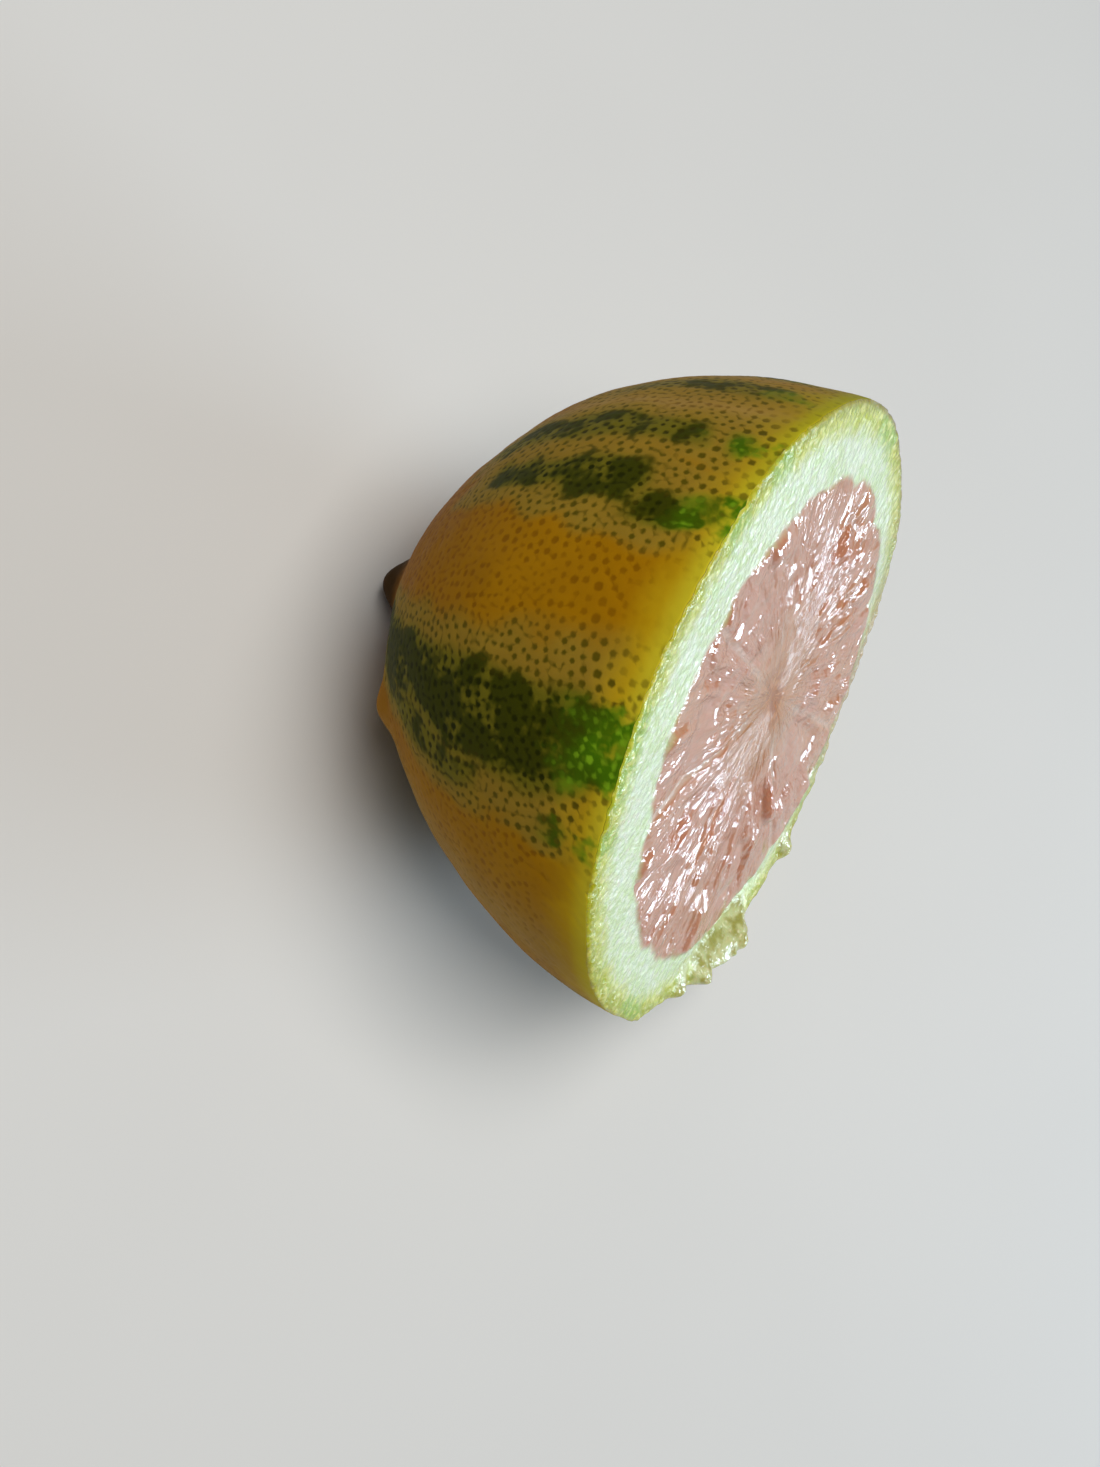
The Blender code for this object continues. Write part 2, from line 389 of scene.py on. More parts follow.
def unit(values):
    """Rows of vectors at length one."""
    return values / np.linalg.norm(values, axis=1, keepdims=True)


def mound(distance, half_width):
    """A smooth mound, 1 at its top and fading away past its half width."""
    return np.exp(-(distance / half_width) ** 2)


def turn_between(angle, other):
    """The turn from one direction to another, in degrees, at most half a turn."""
    return (angle - other + 180) % 360 - 180


def soft_step(values, low, high):
    """0 below low, 1 above high, smooth between."""
    share = np.clip((values - low) / (high - low), 0, 1)
    return share * share * (3 - 2 * share)


def cloud(points, size, seed):
    """Smooth noise between -1 and 1 with features of one size, at each point."""
    shift = Vector([seed * part for part in SEED_SHIFT])
    return np.array([noise.noise(Vector(point) / size + shift) for point in points])


def layered(points, *layers):
    """Layers of noise added up at each point, each given by its strength, size and seed."""
    return sum(strength * cloud(points, size, seed) for strength, size, seed in layers)


def sector(angle, middle, half_width):
    """1 at one angle round the cut, fading away past its half width."""
    return mound(turn_between(angle, middle), half_width)


def rounding(distance, radius):
    """1 at an edge and 0 from one radius on, for rounding the edge off."""
    return np.clip(1 - distance / radius, 0, 1) ** 2


def across(angle):
    """The directions in the cut plane, for angles in degrees."""
    turn = np.radians(np.atleast_1d(angle))
    return np.stack([np.cos(turn), np.zeros_like(turn), np.sin(turn)], axis=1)


def round_shape(angle, latitude):
    """Points and outward normals on the plain half ellipsoid."""
    outward = across(angle)
    turn = np.radians(np.broadcast_to(latitude, len(outward)))[:, None]
    along = np.array((0.0, 1.0, 0.0))
    points = outward * CUT_RADIUS * np.cos(turn) + along * POLE_DEPTH * np.sin(turn)
    points = points + POLE_SHIFT * np.sin(turn) ** 2
    normals = outward * np.cos(turn) / CUT_RADIUS + along * np.sin(turn) / POLE_DEPTH
    return points, unit(normals)


def make_mounds():
    """The centre, height and half width of each named swelling and each seeded lump."""
    mounds = [
        (round_shape(angle, latitude)[0][0], height, half_width)
        for angle, latitude, height, half_width in SWELLINGS.values()
    ]
    draw = random.Random(LUMP_SEED)
    for _ in range(LUMP_COUNT):
        centre = round_shape(draw.uniform(0, 360), math.degrees(math.asin(draw.uniform(0, 1))))[0][0]
        mounds.append((centre, draw.uniform(-LUMP_HEIGHT, LUMP_HEIGHT), LUMP_HALF_WIDTH))
    return mounds


MOUNDS = make_mounds()


def rind_points(angle, latitude):
    """Points on the outside of the rind, with the plain shape's normals."""
    points, normals = round_shape(angle, latitude)
    swell = np.zeros(len(points))
    for centre, height, half_width in MOUNDS:
        swell += height * mound(np.linalg.norm(points - centre, axis=1), half_width)
    return points + normals * swell[:, None], normals


def torn_height(angle):
    """How far the torn lip stands forward of the cut."""
    return sum(height * sector(angle, at, half_width) for at, height, half_width in TORN_TEETH)


def torn_lift(angle):
    """The torn lip's height with its small lumps."""
    rim = across(angle) * CUT_RADIUS
    return torn_height(angle) * (TORN_SHARE + layered(rim, *TORN_LUMPS))


def reach(direction, centre, radius):
    """How far rays in the cut plane go from the core to a circle round it."""
    offset = CORE - centre
    along = direction @ offset
    return np.sqrt(along ** 2 - offset @ offset + radius ** 2) - along


def nearest_membrane(turn):
    """The turn to the nearest membrane, in degrees, for directions from the core."""
    return np.min(np.abs([turn_between(turn, at) for at in MEMBRANES]), axis=0)


def membrane_shows(turn):
    """How plainly the nearest membrane shows."""
    nearest = np.argmin(np.abs([turn_between(turn, at) for at in MEMBRANES]), axis=0)
    return np.array(MEMBRANE_SHOWS)[nearest]


class Rings:
    """Collects closed rings of points and joins each to the next with triangles."""

    def __init__(self):
        self.points = []
        self.count = 0
        self.faces = []

    def add(self, points):
        """Adds a ring and gives the numbers of its points."""
        self.points.append(points)
        first = self.count
        self.count += len(points)
        return np.arange(first, self.count)

    def zip(self, outer, inner, outward):
        """Joins two rings, each its points' numbers and turns, going round with both by their turns."""
        outer, outer_turns = outer
        inner, inner_turns = inner
        outer_turns = np.append(outer_turns, outer_turns[0] + 360)
        inner_turns = np.append(inner_turns, inner_turns[0] + 360)
        outer = np.append(outer, outer[0])
        inner = np.append(inner, inner[0])
        i = 0
        j = 0
        while i < len(outer) - 1 or j < len(inner) - 1:
            inner_is_done = j == len(inner) - 1
            if inner_is_done or (i < len(outer) - 1 and outer_turns[i + 1] <= inner_turns[j + 1]):
                corners = (outer[i], inner[j], outer[i + 1])
                i += 1
            else:
                corners = (outer[i], inner[j], inner[j + 1])
                j += 1
            if len(set(corners)) == 3:
                self.faces.append(corners if outward else corners[::-1])


def ring_turns(radius, spacing):
    """The turns of a ring's points, in degrees, evenly spaced."""
    count = max(SMALLEST_RING, round(2 * math.pi * radius / spacing))
    return np.arange(count) * 360 / count


def spread(made):
    """Each point's turn and its ring's value, for rings given as a value and their points' turns."""
    turn = np.concatenate([turns for _, turns in made])
    value = np.concatenate([np.full(len(turns), held) for held, turns in made])
    return turn, value


def even_latitudes(spacing):
    """Latitudes from the cut to the blossom end, evenly spaced along the rind."""
    fine = np.linspace(0, 90, LATITUDE_SAMPLES)
    turn = np.radians(fine)
    speed = np.hypot(CUT_RADIUS * np.sin(turn), POLE_DEPTH * np.cos(turn))
    length = np.concatenate([[0], np.cumsum((speed[1:] + speed[:-1]) / 2 * np.diff(turn))])
    return np.interp(np.linspace(0, length[-1], round(length[-1] / spacing) + 1), length, fine)


def tree_of(points):
    """A search tree of points."""
    tree = kdtree.KDTree(len(points))
    for number, point in enumerate(points):
        tree.insert(point, number)
    tree.balance()
    return tree


def make_glands(surface):
    """Centres of the oil glands: seeded points on the rind, moved apart until they lie evenly."""
    draw = np.random.default_rng(GLAND_SEED)
    area = len(surface) * RIND_SPACING ** 2
    count = round(area / (math.sqrt(3) / 2 * GLAND_SPACING ** 2))
    crowding = 1 + GLAND_CROWDING * surface[:, 1] / POLE_DEPTH
    centres = surface[draw.choice(len(surface), count, replace=False, p=crowding / crowding.sum())]
    for _ in range(GLAND_EVENING_ROUNDS):
        tree = tree_of(centres)
        owner = np.array([tree.find(point)[1] for point in surface])
        total = np.bincount(owner, crowding, count)
        held = total > 0
        for axis in range(3):
            mean = np.bincount(owner, crowding * surface[:, axis], count)[held] / total[held]
            centres[held, axis] = mean
    tree = tree_of(centres)
    alone = [
        all(other >= number for _, other, _ in tree.find_range(centre, GLAND_CLOSEST))
        for number, centre in enumerate(centres)
    ]
    return centres[alone]


def gland_marks(points):
    """The distance and offset to the nearest oil gland, its drawn tone and the room for its dot."""
    glands = make_glands(points)
    tree = tree_of(glands)
    tone = np.random.default_rng(GLAND_SEED + 1).random(len(glands))
    space = np.array([tree.find_n(gland, 2)[1][2] for gland in glands]) / 2
    found = [tree.find(point)[1:] for point in points]
    nearest = np.array([number for number, _ in found])
    distance = np.array([length for _, length in found])
    return distance, points - glands[nearest], tone[nearest], space[nearest]


def between(latitude, start, end, rise, fall):
    """1 from one latitude to another, with soft steps that lie at rise and fall beside them."""
    begun = soft_step(latitude, start + rise[0], start + rise[1])
    return begun * (1 - soft_step(latitude, end + fall[0], end + fall[1]))


def green_fields(angle, latitude, points):
    """How green the rind is, and how dark its gland dots are, about 0 to 1, from its stripes."""
    angle = angle + layered(points, *STRIPE_WOBBLES)
    latitude = latitude + layered(points, STRIPE_END_WOBBLE)
    green = np.zeros(len(angle))
    dotty = np.zeros(len(angle))
    for middle, drift, half_width, start, end, strength in GREEN_STRIPES:
        middle = middle + drift * latitude / STRIPE_DRIFT_LATITUDE
        side = np.abs(turn_between(angle, middle)) / half_width
        inside = between(latitude, start, end, GREEN_RISE, GREEN_FALL)
        near = between(latitude, start, end, DOTTY_RISE, DOTTY_FALL)
        green = np.maximum(green, strength * inside * (1 - soft_step(side, *GREEN_SIDE)))
        dotty = np.maximum(dotty, strength * near * (1 - soft_step(side, *DOTTY_SIDE)))
    return green, dotty


def stripes(middles, angle, points):
    """The strength of soft stripes that run from the cut to the blossom end."""
    angle = angle + layered(points, SOFT_STRIPE_WOBBLE)
    return sum(strength * sector(angle, middle, half_width) for middle, half_width, strength in middles)


def swelling_top(name):
    """The middle of a named swelling, on the rind."""
    angle, latitude = SWELLINGS[name][:2]
    return rind_points(angle, latitude)[0][0]


def bare_share(points):
    """1 on the smooth knob and the nipple's tip, where no glands show."""
    share = np.zeros(len(points))
    for name, size in BARE_TIPS:
        distance = np.linalg.norm(points - swelling_top(name), axis=1)
        share = np.maximum(share, 1 - soft_step(distance, size * BARE_EDGE[0], size * BARE_EDGE[1]))
    return share


def tip_distance(points):
    """The distance to the nipple's tip."""
    return np.linalg.norm(points - swelling_top("nipple"), axis=1)


def dome_part(rings, values):
    """The rind from just behind the cut to the blossom end, with oil glands pitted into it."""
    made = []
    for latitude in even_latitudes(RIND_SPACING)[1:-1]:
        radius = CUT_RADIUS * math.cos(math.radians(latitude))
        made.append((latitude, ring_turns(radius, RIND_SPACING)))
    made.append((90.0, np.zeros(1)))
    angle, latitude = spread(made)
    points, normals = rind_points(angle, latitude)
    distance, offset, tone, space = gland_marks(points)
    depth = points[:, 1].copy()
    bare = bare_share(points)
    pit = GLAND_PIT_DEPTH * (GLAND_PIT_LEAST + tone) * mound(distance, GLAND_RADIUS) * (1 - bare)
    points = points + normals * (layered(points, RIND_LUMPS) - pit)[:, None]
    forward = torn_lift(angle) * np.clip(1 - depth / TORN_DEPTH, 0, 1)
    points[:, 1] -= forward
    points += across(angle) * (forward * TORN_LEAN)[:, None]
    edge = rounding(depth, EDGE_ROUND) * EDGE_ROUND * EDGE_TUCK
    torn_edge = rounding(depth, TORN_ROUND) * forward * TORN_TUCK
    points -= across(angle) * (edge + torn_edge)[:, None]
    green, dotty = green_fields(angle, latitude, points)
    found = {
        "gland": distance / MM, "space": space / MM, "depth": depth / MM, "latitude": latitude,
        "gland_x": offset[:, 0] / MM, "gland_y": offset[:, 1] / MM, "gland_z": offset[:, 2] / MM,
        "tip": tip_distance(points) / MM, "tone": tone, "bare": bare, "green": green, "dotty": dotty,
        # Tan stripes: partly the rind's own colour, partly painted sheen
        "tan_and_sheen": stripes(TAN_AND_SHEEN_STRIPES, angle, points) * (1 - soft_step(latitude, *TAN_AND_SHEEN_FADES)),
        "faint": stripes(FAINT_STRIPES, angle, points), "olive": sector(angle, *OLIVE_RIND),
    }
    keep_values(values, found, len(points))
    return place_rings(rings, made, points)


def place_rings(rings, made, points):
    """Adds a part's points ring by ring, and gives each ring's numbers with its turns."""
    first = 0
    placed = []
    for _, turns in made:
        placed.append((rings.add(points[first:first + len(turns)]), turns))
        first += len(turns)
    return placed


class Vesicles:
    """The juice vesicles of the cut flesh: long cells in rows between the membranes."""

    def __init__(self):
        draw = random.Random(VESICLE_SEED)
        least, growth = VESICLE_LENGTH_SHARES
        places = []
        looks = []
        for segment, start in enumerate(MEMBRANES):
            width = turn_between(MEMBRANES[(segment + 1) % len(MEMBRANES)], start)
            columns = round(width / VESICLE_ANGLE)
            for column in range(columns):
                turn = width * (column + 0.5 + draw.uniform(-VESICLE_SPREAD, VESICLE_SPREAD)) / columns
                radius = FLESH_RADIUS + VESICLE_START - draw.uniform(0, 2 * VESICLE_START)
                while radius > VESICLE_LAST:
                    places.append(self.warped(radius, turn, segment))
                    burst = BURST_DEPTH if draw.random() < BURST_SHARE else 0
                    looks.append((
                        draw.uniform(*VESICLE_HEIGHTS), draw.uniform(*VESICLE_OFFSETS) - burst,
                        *(draw.uniform(-lean, lean) for lean in VESICLE_LEANS), draw.random(),
                    ))
                    radius -= draw.uniform(*VESICLE_LENGTHS) * (least + growth * radius / FLESH_RADIUS)
        self.places = places
        self.looks = np.array(looks)
        self.tree = tree_of(places)

    @staticmethod
    def warped(radius, turn, segment):
        """A place where the vesicles are about as long as they are wide, segments far apart."""
        return Vector((radius / VESICLE_STRETCH, math.radians(turn) * VESICLE_REACH, segment))

    def relief(self, radius, turn, wall, edge):
        """Height, tone and distance to the cell's border, at places in the flesh."""
        height = np.zeros(len(radius))
        tone = np.zeros(len(radius))
        crease = np.zeros(len(radius))
        starts = np.array(MEMBRANES)
        for number in range(len(radius)):
            ahead = (turn[number] - starts) % 360
            segment = int(np.argmin(ahead))
            spot = self.warped(radius[number], ahead[segment], segment)
            (_, near, to_near), (_, other, to_other) = self.tree.find_n(spot, 2)
            apart = (self.places[near] - self.places[other]).length
            narrowing = max(radius[number] / VESICLE_REACH, VESICLE_NARROWEST)
            border = (to_other ** 2 - to_near ** 2) / (2 * apart) * narrowing
            border = max(min(border, wall[number], edge[number]), 0.0)
            shoulder = 1 - (1 - min(border / VESICLE_SHOULDER, 1)) ** 2
            tall, offset, lean_out, lean_round, shade = self.looks[near]
            away = spot - self.places[near]
            tilt = lean_out * away.x + lean_round * away.y
            height[number] = shoulder * (tall + offset + tilt)
            tone[number] = shade
            crease[number] = border
        return height, tone, crease


def gouge_depth(turn, radius):
    """How deep burst vesicles leave the flesh."""
    depth = np.zeros(len(turn))
    for at, distance, half_length, half_width, deepest in GOUGES:
        away = np.radians(turn_between(turn, at))
        along = mound(radius * np.cos(away) - distance, half_length)
        depth += deepest * along * mound(radius * np.sin(away), half_width) * (np.cos(away) > 0)
    return depth


def flesh_relief(points, turn, radius, wall, flesh):
    """The flesh's height, with each vesicle's tone and the distance to its border."""
    inside = flesh > 0
    height = np.zeros(len(points))
    tone = np.zeros(len(points))
    crease = np.zeros(len(points))
    relief = Vesicles().relief(radius[inside], turn[inside], wall[inside], flesh[inside])
    height[inside], tone[inside], crease[inside] = relief
    streaked = across(turn) * VESICLE_REACH
    streaked[:, 1] = radius / VESICLE_STRETCH
    height += layered(streaked, RIPPLES) * inside
    rough = soft_step(cloud(points, ROUGH_PATCH_SIZE, ROUGH_PATCH_SEED), *ROUGH_PATCH_EDGE)
    height *= (CUT_FLAT_SHARE + (1 - CUT_FLAT_SHARE) * rough) * soft_step(radius, *VESICLES_FROM_CORE)
    height += layered(points, DIMPLES) * inside
    height -= gouge_depth(turn, radius) * inside
    groove = MEMBRANE_GROOVE * membrane_shows(turn) * mound(wall, MEMBRANE_GROOVE_WIDTH)
    height -= groove * soft_step(radius, *GROOVES_FROM_CORE) * inside
    return height, tone, crease


def rim_relief(points, angle, inward, lift, lip):
    """How far the torn lip and the ragged edge stand forward, less the hollow beside them."""
    lumps = layered(points, *LIP_LUMPS) * soft_step(inward, *LIP_LUMPS_START)
    height = lift * lip * (1 + lumps) - lift * TORN_DROP * rounding(inward, TORN_ROUND)
    hollow = HOLLOW_DEPTH * sector(angle, HOLLOW_ANGLE, HOLLOW_HALF_WIDTH)
    height -= hollow * mound(inward - HOLLOW_INWARD, HOLLOW_BREADTH)
    ragged = soft_step(torn_height(angle), *RAGGED_TORN_HEIGHTS) + sector(angle, *RAGGED_STRETCH)
    height += ragged * layered(points, RAGGED_EDGE) * (1 - soft_step(inward, *RAGGED_END))
    return height - EDGE_ROUND * EDGE_DROP * rounding(inward, EDGE_ROUND)


def face_part(rings, values):
    """The cut face from the rim to the core: zest, pith, flesh and the torn lip."""
    ring_total = round(CUT_RADIUS / FACE_SPACING)
    made = []
    for fraction in 1 - np.arange(ring_total) / ring_total:
        made.append((fraction, ring_turns(CUT_RADIUS * fraction, FACE_SPACING)))
    made.append((0.0, np.zeros(1)))
    turn, fraction = spread(made)
    ray = across(turn)
    round_end = CORE + ray * reach(ray, np.zeros(3), CUT_RADIUS)[:, None]
    angle = np.degrees(np.arctan2(round_end[:, 2], round_end[:, 0])) % 360
    rim = rind_points(angle, 0)[0]
    length = np.linalg.norm(rim - CORE, axis=1)
    points = CORE + (rim - CORE) * fraction[:, None]
    inward = (1 - fraction) * length
    radius = fraction * length

    shows = membrane_shows(turn)
    notch = EDGE_NOTCH * shows * mound(nearest_membrane(turn), EDGE_NOTCH_WIDTH)
    wobble = layered(ray * FLESH_BORDER_RADIUS, *FLESH_BORDER)
    flesh = reach(ray, FLESH_CENTRE, FLESH_RADIUS) - notch + wobble - radius
    wall = np.radians(nearest_membrane(turn)) * radius
    height, tone, crease = flesh_relief(points, turn, radius, wall, flesh)
    height -= CORE_SINK * mound(radius, CORE_RADIUS)
    height += layered(points, ZEST_GRAIN) * (1 - soft_step(inward, *ZEST_GRAIN_END))
    height += layered(points, PEEL_GRAIN) * (flesh <= 0)
    height += layered(points, CUT_WAVES)

    lift = torn_lift(angle)
    lip = 1 - soft_step(inward, *LIP_END)
    height += rim_relief(points, angle, inward, lift, lip)
    points[:, 1] -= height
    points += across(angle) * (lift * TORN_LEAN * lip)[:, None]

    found = {
        "flesh": flesh / MM, "rim": inward / MM, "wall": wall / MM, "crease": crease / MM, "tone": tone,
        "core": radius / MM, "torn": torn_height(angle) / MM, "shows": shows,
        "ray_x": ray[:, 0] * VESICLE_REACH / MM, "ray_z": ray[:, 2] * VESICLE_REACH / MM,
        "green": green_fields(angle, np.zeros(len(angle)), rim)[0],
        "thin": sector(angle, *THIN_STRETCH), "olive": sector(angle, *OLIVE_RIM),
    }
    keep_values(values, found, len(points))
    return place_rings(rings, made, points)


VALUE_NAMES = (
    "gland", "gland_x", "gland_y", "gland_z", "tone", "space", "green", "dotty", "tan_and_sheen", "faint", "depth",
    "latitude", "bare", "tip", "torn", "thin", "flesh", "rim", "wall", "shows", "crease", "core",
    "ray_x", "ray_z", "olive",
)


def keep_values(values, found, count):
    """Adds one part's values, with noughts for the names that the part doesn't have."""
    for name in VALUE_NAMES:
        values[name].append(found.get(name, np.zeros(count)))


def build_half():
    """The whole half as one closed mesh, with what its materials read kept on its points."""
    rings = Rings()
    values = {name: [] for name in VALUE_NAMES}
    face = face_part(rings, values)
    dome = dome_part(rings, values)
    for outer, inner in zip(face, face[1:]):
        rings.zip(outer, inner, outward=False)
    face_count = len(rings.faces)
    rim_numbers = face[0][0]
    rim_points = rings.points[0]
    rim_angles = np.degrees(np.arctan2(rim_points[:, 2], rim_points[:, 0])) % 360
    order = np.argsort(rim_angles)
    rings.zip((rim_numbers[order], rim_angles[order]), dome[0], outward=True)
    for outer, inner in zip(dome, dome[1:]):
        rings.zip(outer, inner, outward=True)
    stand = Matrix.Translation(CUT_CENTRE) @ Matrix.Rotation(-math.radians(FACE_TILT), 4, "X")
    stand = np.array(stand)
    points = np.concatenate(rings.points) @ stand[:3, :3].T + stand[:3, 3]
    points[:, 2] = (points[:, 2] + np.sqrt(points[:, 2] ** 2 + FLAT_SOFTNESS ** 2)) / 2
    mesh = bpy.data.meshes.new("lemon_half_fine")
    mesh.from_pydata(points.tolist(), [], [tuple(int(number) for number in face) for face in rings.faces])
    for name in VALUE_NAMES:
        held = mesh.attributes.new(name, "FLOAT", "POINT")
        held.data.foreach_set("value", np.concatenate(values[name]).astype(np.float32))
    slots = np.zeros(len(rings.faces), dtype=np.int32)
    slots[:face_count] = 1
    mesh.polygons.foreach_set("material_index", slots)
    mesh.shade_smooth()
    half = bpy.data.objects.new("lemon_half_fine", mesh)
    bpy.context.collection.objects.link(half)
    return half


class Paint:
    """Builds the nodes of one material, a step at a time."""

    def __init__(self, name):
        self.material = bpy.data.materials.new(name)
        self.material.use_nodes = True
        self.nodes = self.material.node_tree.nodes
        self.links = self.material.node_tree.links
        self.shader = self.nodes["Principled BSDF"]
        place = self.nodes.new("ShaderNodeTexCoord")
        self.place = place.outputs["Object"]

    def feed(self, socket, value):
        """Links a socket to another one, or sets its number or colour."""
        if isinstance(value, bpy.types.NodeSocket):
            self.links.new(value, socket)
        elif isinstance(value, tuple) and len(value) == 3 and socket.type == "RGBA":
            socket.default_value = (*value, 1)
        else:
            socket.default_value = value

    def value(self, name):
        """One of the numbers kept on the mesh's points."""
        node = self.nodes.new("ShaderNodeAttribute")
        node.attribute_name = name
        return node.outputs["Fac"]

    def math(self, operation, *values):
        """A sum on numbers."""
        node = self.nodes.new("ShaderNodeMath")
        node.operation = operation
        for socket, value in zip(node.inputs, values):
            self.feed(socket, value)
        return node.outputs["Value"]

    def vector(self, *parts):
        """A vector of three numbers."""
        node = self.nodes.new("ShaderNodeCombineXYZ")
        for socket, value in zip(node.inputs, parts):
            self.feed(socket, value)
        return node.outputs["Vector"]

    def length(self, value):
        """The length of a vector."""
        node = self.nodes.new("ShaderNodeVectorMath")
        node.operation = "LENGTH"
        self.feed(node.inputs[0], value)
        return node.outputs["Value"]

    def step(self, value, span, start=0.0, end=1.0):
        """A smooth change from start to end as the value goes through a span."""
        node = self.nodes.new("ShaderNodeMapRange")
        node.interpolation_type = "SMOOTHSTEP"
        for socket, item in zip(node.inputs, (value, *span, start, end)):
            self.feed(socket, item)
        return node.outputs["Result"]

    def fade(self, value, span, start=1.0, end=0.0):
        """A smooth fall, to nothing unless another end is given, as the value goes through a span."""
        return self.step(value, span, start, end)

    def noise(self, size, detail=2.0, place=None):
        """Noise of about 0.3 to 0.7 with features of one size, in metres unless a place is given."""
        node = self.nodes.new("ShaderNodeTexNoise")
        node.inputs["Scale"].default_value = 1 / size
        node.inputs["Detail"].default_value = detail
        self.feed(node.inputs["Vector"], place or self.place)
        return node.outputs["Fac"]

    def cells(self, size, place):
        """The distance to the nearest seed of cells of one size, about 0 to 1."""
        node = self.nodes.new("ShaderNodeTexVoronoi")
        node.inputs["Scale"].default_value = 1 / size
        self.feed(node.inputs["Vector"], place)
        return node.outputs["Distance"]

    def blend(self, share, first, second, kind="MIX"):
        """A colour between two colours."""
        node = self.nodes.new("ShaderNodeMix")
        node.data_type = "RGBA"
        node.blend_type = kind
        self.feed(node.inputs["Factor"], share)
        colours = [socket for socket in node.inputs if socket.type == "RGBA"]
        self.feed(colours[0], first)
        self.feed(colours[1], second)
        return next(socket for socket in node.outputs if socket.type == "RGBA")

    def bump(self, height, distance, strength=1.0):
        """Small relief for the shader's normal."""
        node = self.nodes.new("ShaderNodeBump")
        node.inputs["Distance"].default_value = distance
        node.inputs["Strength"].default_value = strength
        self.feed(node.inputs["Height"], height)
        self.feed(self.shader.inputs["Normal"], node.outputs["Normal"])

    def set(self, **values):
        """Sets or links the shader's own sockets."""
        for name, value in values.items():
            self.feed(self.shader.inputs[name.replace("_", " ").title().replace("Ior", "IOR")], value)


def peel_ground(paint, green, dotty, soft, near_cut, near_leaf):
    """The rind's colour without its dots: bright at the cut, yellow, then ochre, green in stripes. The
    bright yellow at the cut is partly painted glow, the deepening ochre partly painted shade, and the tan
    partly painted sheen.
    """
    depth = paint.value("depth")
    olive = paint.value("olive")
    # Ochre darkening toward the blossom end: partly the rind's own colour, partly painted shade
    ground = paint.blend(paint.step(paint.value("latitude"), OCHRE_DEEPENS_AND_SHADE), OCHRE, DEEP_OCHRE_AND_SHADE)
    # Tan stripes: partly the rind's own colour, partly painted sheen at the silhouettes
    ground = paint.blend(paint.value("tan_and_sheen"), ground, TAN_AND_SHEEN)
    ground = paint.blend(paint.step(dotty, (0.1, 0.8), 0.0, 0.85), ground, NET)
    # Yellow near the cut: partly the rind's own colour, partly painted glow of light through the rim
    ground = paint.blend(near_cut, ground, paint.blend(olive, YELLOW, OLIVE_YELLOW))
    bright = paint.blend(olive, BRIGHT_YELLOW_AND_GLOW, ZEST_OUTER)
    ground = paint.blend(paint.fade(depth, BRIGHT_GLOW_MARGIN, 0.80), ground, bright)
    ground = paint.blend(paint.step(soft, (0.3, 0.7), 0.0, 0.35), ground, SHADE, "MULTIPLY")
    net = paint.blend(near_leaf, OLIVE, LEAF_GREEN)
    ground = paint.blend(paint.step(green, (0.15, 0.9), 0.0, 0.9), ground, net)
    patch = paint.math("MULTIPLY_ADD", paint.noise(*DARK_PATCHES), 2.6, paint.math("SUBTRACT", green, 1.3))
    patch = paint.math("MULTIPLY_ADD", paint.math("SUBTRACT", 0.35, paint.value("gland")), 0.5, patch)
    dark = paint.blend(near_leaf, DARK_GREEN, DEEP_LEAF)
    return paint.blend(paint.step(patch, (0.55, 0.97), 0.0, 0.88), ground, dark)


def gland_dots(paint, dotty, fine):
    """How strongly a gland's dot shows."""
    tone = paint.value("tone")
    offset = paint.vector(paint.value("gland_x"), paint.value("gland_y"), paint.value("gland_z"))
    border = paint.math("SUBTRACT", paint.value("gland"), 0.01)
    distance = paint.math("MAXIMUM", paint.length(offset), border)
    share = paint.math("MULTIPLY_ADD", tone, DOT_SHARE_DRAW, DOT_SHARE)
    size = paint.math("MULTIPLY", paint.value("space"), share)
    size = paint.math("SUBTRACT", size, DOT_RAGGEDNESS / 2)
    size = paint.math("MULTIPLY_ADD", fine, DOT_RAGGEDNESS, size)
    dot = paint.fade(paint.math("SUBTRACT", distance, size), DOT_EDGE)
    strength = paint.math("MULTIPLY_ADD", tone, DOT_STRENGTH_DRAW, DOT_STRENGTH)
    strength = paint.math("SUBTRACT", strength, paint.value("faint"))
    strength = paint.math("MULTIPLY_ADD", dotty, DOT_STRENGTH_IN_STRIPES, strength)
    strength = paint.math("SUBTRACT", strength, paint.value("bare"))
    strength = paint.math("SUBTRACT", strength, paint.fade(paint.value("depth"), DOTLESS_MARGIN, 0.8))
    return paint.math("MULTIPLY", dot, paint.step(strength, (0, 1)))


